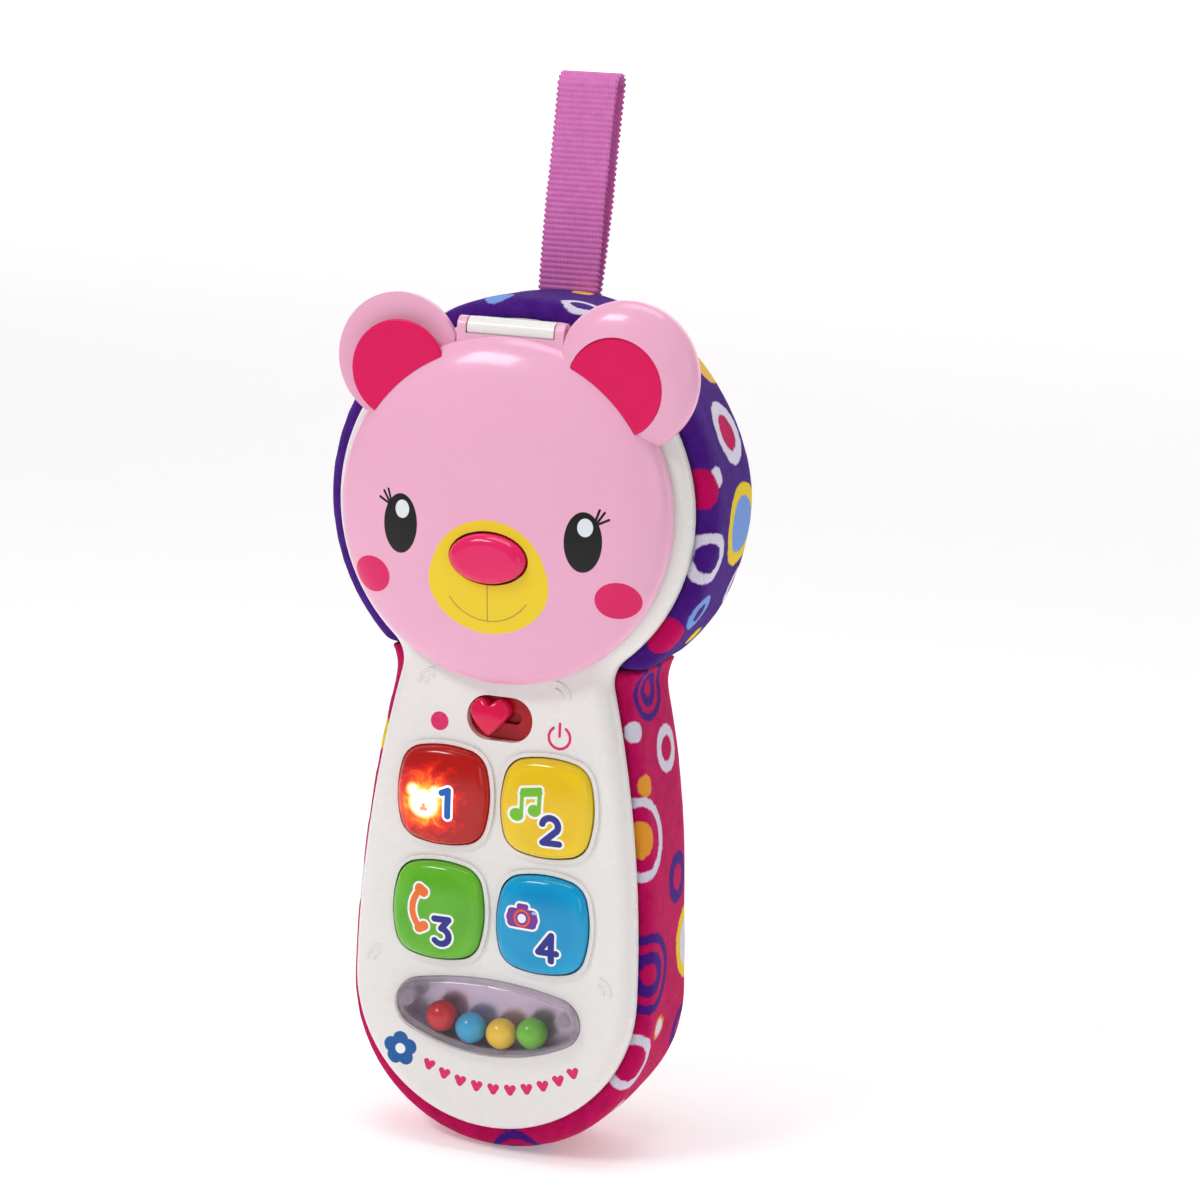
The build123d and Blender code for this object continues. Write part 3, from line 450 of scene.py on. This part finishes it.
def window_material():
    """Clear moulding with painted shade: greyer and less clear where its wall turns down at the rim and over
    its two posts, standing in for light bent there.
    """
    s = Shader("window_clear")
    roof = s.disc(0.0, WINDOW_TOP - ROOF_RADIUS, ROOF_RADIUS)
    track = s.disc(0.0, WINDOW_FOOT + TRACK_RADIUS, TRACK_RADIUS)
    across = s.math("ABSOLUTE", s.vector("DOT_PRODUCT", s.mm, (1.0, 0.0, 0.0)))
    ends = s.math("SUBTRACT", across, WINDOW_HALF)
    depth = s.math("MAXIMUM", s.math("MAXIMUM", roof, track), ends)
    # painted shade: a grey band round the rim where the wall turns down
    wall = s.steps(depth, -2.4, -1.2)
    # painted shade: grey discs over the two clear posts
    posts = s.steps(s.nearest(s.disc(-19.6, 36.6, 2.1), s.disc(19.6, 36.6, 2.1)), -0.2, 0.2, 1.0, 0.0)
    haze = s.steps(s.noise(90.0, 3.0), 0.3, 0.8, 0.0, 0.02)
    # the painted shade greys the colour and lowers the clearness at the rim and the posts
    solid = s.math("MAXIMUM", s.math("MULTIPLY", wall, 0.42), s.math("MULTIPLY", posts, 0.36))
    s.set(colour=s.mix(s.math("MAXIMUM", wall, posts), srgb(236, 232, 240), srgb(150, 138, 152)), rough=0.06,
          alpha=s.math("ADD", s.math("ADD", solid, haze), 0.02), ior=1.49, coat=1.0, coat_rough=0.02)
    return s.material


# ---------------------------------------------------------------- fabric

def plush_material(name, ground, prints):
    """Short-pile plush printed with rings and dots; each print is a place on the surface in millimetres."""
    s = Shader(name)
    fuzz = s.noise(2600.0, 3.0, 0.7)
    mottle = s.noise(260.0, 4.0, 0.65)
    wobble_x = s.math("MULTIPLY", s.math("SUBTRACT", s.noise(700.0, 2.0), 0.5), 1.1)
    dark = tuple(c * 0.84 for c in ground[:3]) + (1.0,)
    light = tuple(min(1.0, c * 1.12 + 0.004) for c in ground[:3]) + (1.0,)
    paint = s.mix(s.steps(mottle, 0.25, 0.75), dark, light)
    for place, bands in prints:
        away = s.math("ADD", s.vector("DISTANCE", s.mm, place), wobble_x)
        for radius, colour in bands:
            fill = ground if colour is None else colour
            paint = s.ink(paint, s.math("SUBTRACT", away, radius), fill, soft=0.28)
    paint = s.mix(s.steps(fuzz, 0.3, 0.72, 0.0, 0.16), paint, srgb(20, 8, 30))
    s.set(colour=paint, rough=0.95, sheen=0.07, sheen_rough=0.45, ior=1.15)
    s.bump(s.noise(420.0, 3.0, 0.6), 0.00035, 0.5)
    s.bump(fuzz, 0.00028, 0.9)
    return s.material


# Prints are bands from the outside in; None is the ground colour
def ring(colour, outer, inner, centre=None):
    return [(outer, colour), (inner, centre)]


def dot(colour, radius):
    return [(radius, colour)]


def double_ring(colour, outer):
    return [(outer, colour), (outer * 0.76, None), (outer * 0.56, colour), (outer * 0.26, None)]


def head_place(angle, depth, lift=0.0):
    """A place on the plush head: degrees from +X towards +Z, depth behind the rim."""
    radius = HEAD_RADIUS - 3.4 * math.exp(-max(depth, 0.0) / 3.5) - max(0.0, depth - 27.0) ** 2 / 14 + lift
    turn = math.radians(angle)
    return (radius * math.cos(turn), RIM_Y + depth, HEAD_Z + radius * math.sin(turn))


def body_place(side, z, depth):
    """A place on the plush body's flank; side is -1 or 1."""
    if z < BODY_HALF:
        half = math.sqrt(max(0.0, BODY_HALF ** 2 - (BODY_HALF - z) ** 2))
    else:
        half = BODY_HALF - (z - BODY_HALF) ** 2 / 680
    return (side * (half - 2.0 * math.exp(-max(depth, 0.0) / 3.5)), RIM_Y + depth, z)


HEAD_PRINTS = [
    (head_place(23.5, 18.0), ring(LILAC, 7.4, 4.3, MAGENTA)),
    (head_place(13.0, 4.6), dot(LILAC, 2.4)),
    (head_place(10.5, 0.5), dot(MAGENTA, 4.6)),
    (head_place(-2.6, 20.5), ring(YELLOW, 9.6, 6.6, LIGHT_BLUE)),
    (head_place(-9.5, 3.0), ring(LILAC, 6.0, 3.5)),
    (head_place(-26.5, 7.6), ring(LIGHT_BLUE, 4.6, 2.5)),
    (head_place(-35.5, 1.5), dot(MAGENTA, 4.6)),
    (head_place(44.0, 25.0), dot(srgb(245, 196, 90), 5.4)),
    (head_place(84.0, 24.0), dot(srgb(240, 176, 70), 2.6)),
    (head_place(76.0, 7.0), ring(LILAC, 5.0, 3.0)),
    (head_place(100.0, 5.5), dot(LIGHT_BLUE, 3.4)),
    (head_place(60.0, 13.0), ring(LIGHT_BLUE, 3.6, 1.9)),
    (head_place(-22.0, 29.0), ring(LILAC, 5.6, 3.6)),
    (head_place(-38.0, 20.0), dot(YELLOW, 2.6)),
]
BODY_PRINTS = [
    (body_place(1, 112.0, 11.0), double_ring(PURPLE, 7.6)),
    (body_place(1, 103.5, 2.6), dot(LILAC, 2.5)),
    (body_place(1, 97.0, 18.0), ring(LILAC, 5.6, 3.0)),
    (body_place(1, 91.0, 4.2), dot(srgb(240, 160, 50), 2.6)),
    (body_place(1, 79.0, 1.0), [(9.8, LILAC), (7.6, None), (4.4, srgb(240, 160, 50))]),
    (body_place(1, 66.5, 20.0), ring(PURPLE, 6.2, 3.2)),
    (body_place(1, 49.4, 29.0), ring(YELLOW, 9.0, 6.4, LILAC)),
    (body_place(1, 47.5, 3.0), double_ring(PURPLE, 9.6)),
    (body_place(1, 32.8, 10.5), [(3.0, ORANGE), (2.1, LILAC)]),
    (body_place(1, 26.0, 0.5), ring(LILAC, 7.4, 5.0)),
    (body_place(1, 12.5, 9.0), dot(LILAC, 2.6)),
    (body_place(1, 29.0, 27.0), ring(PURPLE, 5.6, 3.0)),
    ((6.0, RIM_Y + 6.0, 1.0), double_ring(PURPLE, 7.0)),
    (body_place(-1, 96.0, 7.0), ring(YELLOW, 6.0, 3.6, LIGHT_BLUE)),
    (body_place(-1, 80.0, 14.0), double_ring(PURPLE, 7.4)),
    (body_place(-1, 60.0, 8.0), ring(LILAC, 7.2, 4.6)),
    (body_place(-1, 42.0, 20.0), dot(ORANGE, 3.0)),
    (body_place(-1, 24.0, 9.0), ring(LIGHT_BLUE, 6.0, 3.4)),
]
FAR_BANDS = [ring(LILAC, 5.8, 3.4), dot(YELLOW, 2.8), ring(LIGHT_BLUE, 6.4, 3.8), double_ring(MAGENTA, 7.0)]
for index in range(7):
    angle = 118.0 + 17.0 * index
    depth = 9.0 + 11.0 * (index % 2)
    HEAD_PRINTS.append((head_place(angle, depth), FAR_BANDS[index % 4]))
PLUSH_BACK = plush_high.y / MM
BACK_BANDS = [ring(LILAC, 6.4, 4.0), dot(MAGENTA, 3.6), ring(YELLOW, 7.4, 5.0, LIGHT_BLUE),
              ring(LIGHT_BLUE, 5.0, 2.8)]
for index in range(8):
    turn = math.radians(45 * index + 20)
    reach = 30.0 if index % 2 else 17.0
    place = (reach * math.cos(turn), PLUSH_BACK, HEAD_Z + reach * math.sin(turn))
    HEAD_PRINTS.append((place, BACK_BANDS[index % 4]))
for x, z, bands in ((-15.0, 100.0, ring(LILAC, 6.4, 4.0)), (12.0, 92.0, double_ring(PURPLE, 7.6)),
                    (-16.0, 20.0, double_ring(PURPLE, 7.4)), (13.0, 18.0, ring(YELLOW, 6.4, 4.2, LILAC)),
                    (0.0, 108.0, dot(ORANGE, 2.8)), (0.0, 10.0, dot(LILAC, 2.8))):
    BODY_PRINTS.append(((x, PLUSH_BACK, z), bands))


VOXEL = 1.6
CLOTH_STEPS = 14
PRESSURE = 4.0
SEAM_DEPTH = 3.5


def puffed(node, name, material, cap, seed):
    """Copy a soft solid, remesh it and swell it as stuffed cloth, holding the seams to the shell."""
    piece = bpy.data.objects.new(name, NODES[node].data.copy())
    bpy.context.scene.collection.objects.link(piece)
    bpy.context.view_layer.objects.active = piece
    remesh = piece.modifiers.new("remesh", "REMESH")
    remesh.mode = "VOXEL"
    remesh.voxel_size = VOXEL * MM
    apply_modifiers(piece)
    start = [v.co.copy() for v in piece.data.vertices]
    pins = piece.vertex_groups.new(name="pins")
    front = (RIM_Y + SEAM_DEPTH) * MM
    for v in piece.data.vertices:
        inner = held_weight(v.co, v.normal, node, front)
        if inner > 0:
            pins.add([v.index], inner, "REPLACE")
    cloth = piece.modifiers.new("cloth", "CLOTH")
    cloth.settings.quality = 5
    cloth.settings.mass = 0.2
    cloth.settings.tension_stiffness = 12
    cloth.settings.compression_stiffness = 12
    cloth.settings.bending_stiffness = 0.4
    cloth.settings.use_pressure = True
    cloth.settings.uniform_pressure_force = PRESSURE
    cloth.settings.vertex_group_mass = "pins"
    cloth.settings.effector_weights.gravity = 0.0
    cloth.point_cache.frame_start = 1
    cloth.point_cache.frame_end = CLOTH_STEPS
    for step in range(1, CLOTH_STEPS + 1):
        bpy.context.scene.frame_set(step)
    apply_modifiers(piece)
    bpy.context.scene.frame_set(1)
    for v, origin in zip(piece.data.vertices, start):
        shift = v.co - origin
        if shift.length > cap * MM:
            v.co = origin + shift.normalized() * cap * MM
    pucker(piece, seed)
    smooth = piece.modifiers.new("smooth", "SMOOTH")
    smooth.iterations = 2
    finer = piece.modifiers.new("finer", "SUBSURF")
    finer.levels = finer.render_levels = 1
    apply_modifiers(piece)
    shade_smooth(piece)
    piece.data.materials.clear()
    piece.data.materials.append(material)
    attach(piece, "phone")
    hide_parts(node)
    return piece


def held_weight(place, normal, node, front):
    """How firmly a point is sewn down: fully at the front seam, against the shell and at the neck seam."""
    if place.y < front:
        return 1.0
    radial = Vector((place.x, 0.0, place.z - HEAD_Z * MM))
    before_back = place.y < (PLUSH_BACK - 4.0) * MM
    if node == "plush_head":
        return 1.0 if radial.length < 41.5 * MM and before_back else 0.0
    faces_inward = normal.dot(Vector((place.x, 0.0, place.z - 60 * MM))) < 0
    beside_door = abs(place.x) < 31.5 * MM and 32 * MM < place.z < 82 * MM
    return 1.0 if (faces_inward and before_back) or beside_door else 0.0


def pucker(piece, seed):
    """Shallow dents and gathers in the stuffing, none at the front seam and full depth from 9 mm behind the
    rim.
    """
    mesh = piece.data
    normals = [v.normal.copy() for v in mesh.vertices]
    for v, normal in zip(mesh.vertices, normals):
        spot = v.co * 42 + Vector((seed, seed * 2.0, 0.0))
        dent = noise.noise(spot) * 0.55 + noise.noise(spot * 2.7) * 0.22
        depth = v.co.y / MM - RIM_Y
        free = min(1.0, max(0.0, (depth - 3.0) / 6.0))
        v.co += normal * dent * free * MM


def apply_modifiers(piece):
    """Replace a piece's mesh with what its modifiers make of it."""
    graph = bpy.context.evaluated_depsgraph_get()
    graph.update()
    made = bpy.data.meshes.new_from_object(piece.evaluated_get(graph))
    piece.modifiers.clear()
    piece.data = made


def shade_smooth(piece):
    for face in piece.data.polygons:
        face.use_smooth = True


# ---------------------------------------------------------------- ribbon

def ribbon_material():
    s = Shader("ribbon_orchid")
    wave = s.add("ShaderNodeTexWave", wave_type="BANDS", bands_direction="X", wave_profile="SIN")
    s.feed(wave.inputs["Vector"], s.place)
    wave.inputs["Scale"].default_value = 420.0
    low_light = s.steps(s.noise(500.0, 3.0), 0.3, 0.7)
    paint = s.mix(low_light, srgb(208, 114, 180), srgb(214, 122, 187))
    paint = s.mix(s.math("MULTIPLY", wave.outputs["Fac"], 0.18), paint, srgb(172, 66, 150))
    s.set(colour=paint, rough=0.75, sheen=0.2, sheen_rough=0.4, ior=1.3)
    s.bump(wave.outputs["Fac"], 0.00006, 0.6)
    s.bump(s.noise(1800.0, 2.0), 0.00005, 0.5)
    return s.material


def ribbon_loop():
    """One grosgrain ribbon up the front, over and down the back, with crosswise ribs and a picot edge."""
    low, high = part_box("strap_loop")
    width = 14.2
    lean = math.radians(4.0)
    foot = Vector((0.0, (RIM_Y + 28.5), low.z / MM - 2.6))
    gap, height = 5.4, (high.z - low.z) / MM + 2.2
    turn = gap / 2
    straight = height - turn
    rib = 1.25
    path = []
    step = 0.25
    for index in range(int(straight / step) + 1):
        z = index * step
        path.append((Vector((0.0, -turn * pinch(z / straight), z)), Vector((0.0, -1.0, 0.0))))
    bend = int(math.pi * turn / step)
    for index in range(1, bend):
        angle = math.pi * index / bend
        out = Vector((0.0, -math.cos(angle), math.sin(angle)))
        path.append((Vector((0.0, 0.0, straight)) + out * turn, out))
    for index in range(int(straight / step), -1, -1):
        z = index * step
        path.append((Vector((0.0, turn * pinch(z / straight), z)), Vector((0.0, 1.0, 0.0))))
    mesh = bpy.data.meshes.new("ribbon_loop")
    columns = 25
    verts, faces = [], []
    travel = 0.0
    for row, (place, out) in enumerate(path):
        travel += step
        rise = 0.13 * math.cos(2 * math.pi * travel / rib)
        scallop = 0.22 * math.cos(2 * math.pi * travel / rib)
        share = place.z / height
        for column in range(columns):
            across = column / (columns - 1) - 0.5
            x = across * (width + (2 * scallop if abs(across) > 0.47 else 0.0)) + 2.0 * share
            flutter = 0.35 * math.sin(3.1 * across + 5.0 * share)
            point = place + out * rise + Vector((0.0, flutter * share, 0.0))
            y = point.y * math.cos(lean) + point.z * math.sin(lean)
            z = point.z * math.cos(lean) - point.y * math.sin(lean)
            verts.append((foot.x * MM + x * MM, (foot.y + y) * MM, (foot.z + z) * MM))
        if row:
            base = (row - 1) * columns
            for column in range(columns - 1):
                corner = base + column
                faces.append((corner, corner + 1, corner + columns + 1, corner + columns))
    mesh.from_pydata(verts, [], faces)
    piece = bpy.data.objects.new("ribbon_loop", mesh)
    bpy.context.scene.collection.objects.link(piece)
    thick = piece.modifiers.new("thick", "SOLIDIFY")
    thick.thickness = 0.5 * MM
    thick.offset = 0.0
    apply_modifiers(piece)
    shade_smooth(piece)
    piece.data.materials.append(ribbon_material())
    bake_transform(piece)
    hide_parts("strap_loop")
    return piece


def pinch(share):
    """The two layers close up where they are sewn in, and spread above."""
    return 0.3 + 0.7 * min(1.0, share * 2.2) ** 0.7


# ---------------------------------------------------------------- small panel details

def raised_arcs(white):
    """Pairs of short raised arcs beside the slide and the window."""
    places = ((-16.2, 110.6, 135), (13.0, 110.8, 45), (-26.8, 43.6, 140), (26.0, 43.6, 35))
    for number, (x, z, facing) in enumerate(places, 1):
        curve = bpy.data.curves.new(f"panel_arcs_{number}", "CURVE")
        curve.dimensions = "3D"
        curve.bevel_depth = 0.36 * MM
        curve.bevel_resolution = 3
        curve.use_fill_caps = True
        for radius in (2.0, 3.7):
            points = arc_points(x, z, radius, facing - 42, facing + 42, 8)
            spline = curve.splines.new("POLY")
            spline.points.add(len(points) - 1)
            for point, (px, pz) in zip(spline.points, points):
                point.co = (px * MM, (PANEL_FRONT + 0.05) * MM, pz * MM, 1.0)
        outline = bpy.data.objects.new(f"panel_arcs_{number}_line", curve)
        bpy.context.scene.collection.objects.link(outline)
        made = bpy.data.meshes.new_from_object(outline.evaluated_get(bpy.context.evaluated_depsgraph_get()))
        bpy.data.objects.remove(outline)
        bpy.data.curves.remove(curve)
        piece = bpy.data.objects.new(f"panel_arcs_{number}", made)
        bpy.context.scene.collection.objects.link(piece)
        shade_smooth(piece)
        piece.data.materials.clear()
        piece.data.materials.append(white)
        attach(piece, "phone")


# ---------------------------------------------------------------- stage

def stage():
    floor = slab("floor", [(-6, -6, 0), (6, -6, 0), (6, 3, 0), (-6, 3, 0)])
    s = Shader("floor_pale")
    s.set(colour=s.mix(s.noise(3.0), srgb(252, 250, 251), srgb(254, 253, 254)), rough=0.8,
          glow_colour=(1.0, 0.99, 0.995, 1.0), glow=0.24)
    floor.data.materials.append(s.material)
    wall = slab("wall", [(-6, 3, -0.5), (6, 3, -0.5), (6, 3, 5), (-6, 3, 5)])
    s = Shader("wall_bright")
    s.set(colour=srgb(250, 250, 250), glow_colour=(1.0, 1.0, 1.0, 1.0), glow=1.0, rough=0.9)
    wall.data.materials.append(s.material)
    world = bpy.data.worlds.new("studio")
    bpy.context.scene.world = world
    world.use_nodes = True
    world.node_tree.nodes["Background"].inputs["Color"].default_value = (1.0, 0.985, 0.99, 1.0)
    world.node_tree.nodes["Background"].inputs["Strength"].default_value = 0.27
    lamp("key", (-0.42, -0.62, 0.8), (0.34, 0.2), 3.6)
    lamp("fill", (0.7, -0.45, 0.3), (0.4, 0.4), 0.7)
    lamp("top", (0.0, -0.1, 0.85), (0.5, 0.25), 1.9)


def slab(name, corners):
    mesh = bpy.data.meshes.new(name)
    mesh.from_pydata(corners, [], [(0, 1, 2, 3)])
    piece = bpy.data.objects.new(name, mesh)
    bpy.context.scene.collection.objects.link(piece)
    return piece


def lamp(name, place, size, power):
    light = bpy.data.lights.new(name, "AREA")
    light.shape = "RECTANGLE"
    light.size, light.size_y = size
    light.energy = power
    lamp_object = bpy.data.objects.new(name, light)
    lamp_object.location = place
    lamp_object.rotation_euler = (Vector((0, 0, 0.12)) - Vector(place)).to_track_quat("-Z", "Y").to_euler()
    bpy.context.scene.collection.objects.link(lamp_object)


def camera():
    """Slightly above and to the right of the face, with a little roll."""
    around, above, roll = math.radians(21.0), math.radians(12.0), math.radians(2.4)
    distance = 0.7905
    target = Vector((0.0, RIM_Y * MM, 0.1144))
    back = Vector((math.sin(around) * math.cos(above), -math.cos(around) * math.cos(above), math.sin(above)))
    right = Vector((math.cos(around), math.sin(around), 0.0))
    up = back.cross(right)
    tilted_right = right * math.cos(roll) + up * math.sin(roll)
    tilted_up = up * math.cos(roll) - right * math.sin(roll)
    data = bpy.data.cameras.new("camera")
    data.lens = 104.55
    data.sensor_width = 36.0
    data.shift_x = 0.0758
    data.shift_y = 0.06
    data.clip_end = 20.0
    view = bpy.data.objects.new("camera", data)
    matrix = view.matrix_world.copy()
    matrix.col[0][:3] = tilted_right
    matrix.col[1][:3] = tilted_up
    matrix.col[2][:3] = back
    matrix.col[3][:3] = target + back * distance
    view.matrix_world = matrix
    bpy.context.scene.collection.objects.link(view)
    bpy.context.scene.camera = view


# ---------------------------------------------------------------- build

stage()
camera()
bpy.context.scene.view_settings.view_transform = "Standard"

white_panel = panel_material()
plain_white = moulded("plastic_white", WHITE, rough=0.3, coat=0.3).material
hot_pink = moulded("plastic_hot_pink", HOT_PINK, rough=0.34, coat=0.3, grain=0.004).material
nose_pink = moulded("nose_pink", srgb(232, 34, 104), rough=0.16, coat=1.0, sub=0.1).material
heart_pink = moulded("heart_pink", srgb(226, 20, 78), rough=0.1, coat=1.0, sub=0.15).material
steel = metal("steel", srgb(190, 190, 195))
black = moulded("plastic_black", srgb(32, 32, 34), rough=0.45, coat=0.1).material
dress(white_panel, "front_housing")
dress(plain_white, "rear_housing", "battery_door")
dress(face_material(), "face_shell")
dress(moulded("plastic_pink", PINK, rough=0.3, coat=0.3).material, "face_back")
dress(hot_pink, "inner_ear_left", "inner_ear_right", "mirror_bezel")
dress(nose_pink, "nose")
dress(heart_pink, "heart_knob")
dress(steel, "housing_screws", "face_screws", "hinge_pin", "flap_magnet", "battery_contacts", "door_screw")
dress(black, "sound_chip", "power_switch_body", "speaker")
dress(metal("mirror_film", (0.72, 0.75, 0.8, 1.0), 0.1), "mirror")

# material, colour, roughness, coat and the nodes that take it
MOULDINGS = (
    ("plastic_red", srgb(178, 14, 30), 0.3, 0.4, ["slot_plate", "slide_carriage"]),
    ("board_green", srgb(24, 110, 52), 0.35, 0.5, ["circuit_board"]),
    ("keypad_grey", srgb(190, 190, 188), 0.8, 0.0, ["keypad_membrane"]),
    ("lamp_clear", srgb(240, 236, 214), 0.1, 1.0, ["button_leds", "reed_switch"]),
    ("wire_red", srgb(180, 22, 22), 0.4, 0.2, ["leads"]),
    ("cell_sleeve", srgb(60, 62, 70), 0.25, 0.6, ["battery_lower", "battery_upper"]),
    ("ball_red", srgb(206, 22, 30), 0.15, 1.0, ["bead_red"]),
    ("ball_blue", srgb(56, 166, 212), 0.15, 1.0, ["bead_blue"]),
    ("ball_yellow", srgb(246, 200, 50), 0.15, 1.0, ["bead_yellow"]),
    ("ball_green", srgb(112, 190, 50), 0.15, 1.0, ["bead_green"]),
)
for name, colour, rough, coat, nodes in MOULDINGS:
    dress(moulded(name, colour, rough=rough, coat=coat).material, *nodes)

dress(tray_material(), "bead_tray")
dress(window_material(), "bead_window")
dress(lit_button(), "button_1")
# each button's second colour is its painted brighter rim, where light shines through, and is also mottled
# through its mass
dress(plain_button("button_yellow", srgb(230, 186, 8), srgb(242, 206, 32), 2, button_note), "button_2")
dress(plain_button("button_green", srgb(78, 164, 26), srgb(106, 190, 48), 3, button_handset), "button_3")
dress(plain_button("button_blue", srgb(0, 134, 190), srgb(4, 162, 214), 4, button_camera), "button_4")

puffed("plush_head", "plush_head_cover", plush_material("plush_purple", PURPLE, HEAD_PRINTS), 1.6, 3.0)
puffed("plush_body", "plush_body_cover", plush_material("plush_magenta", MAGENTA, BODY_PRINTS), 1.6, 11.0)
ribbon_loop()
raised_arcs(plain_white)
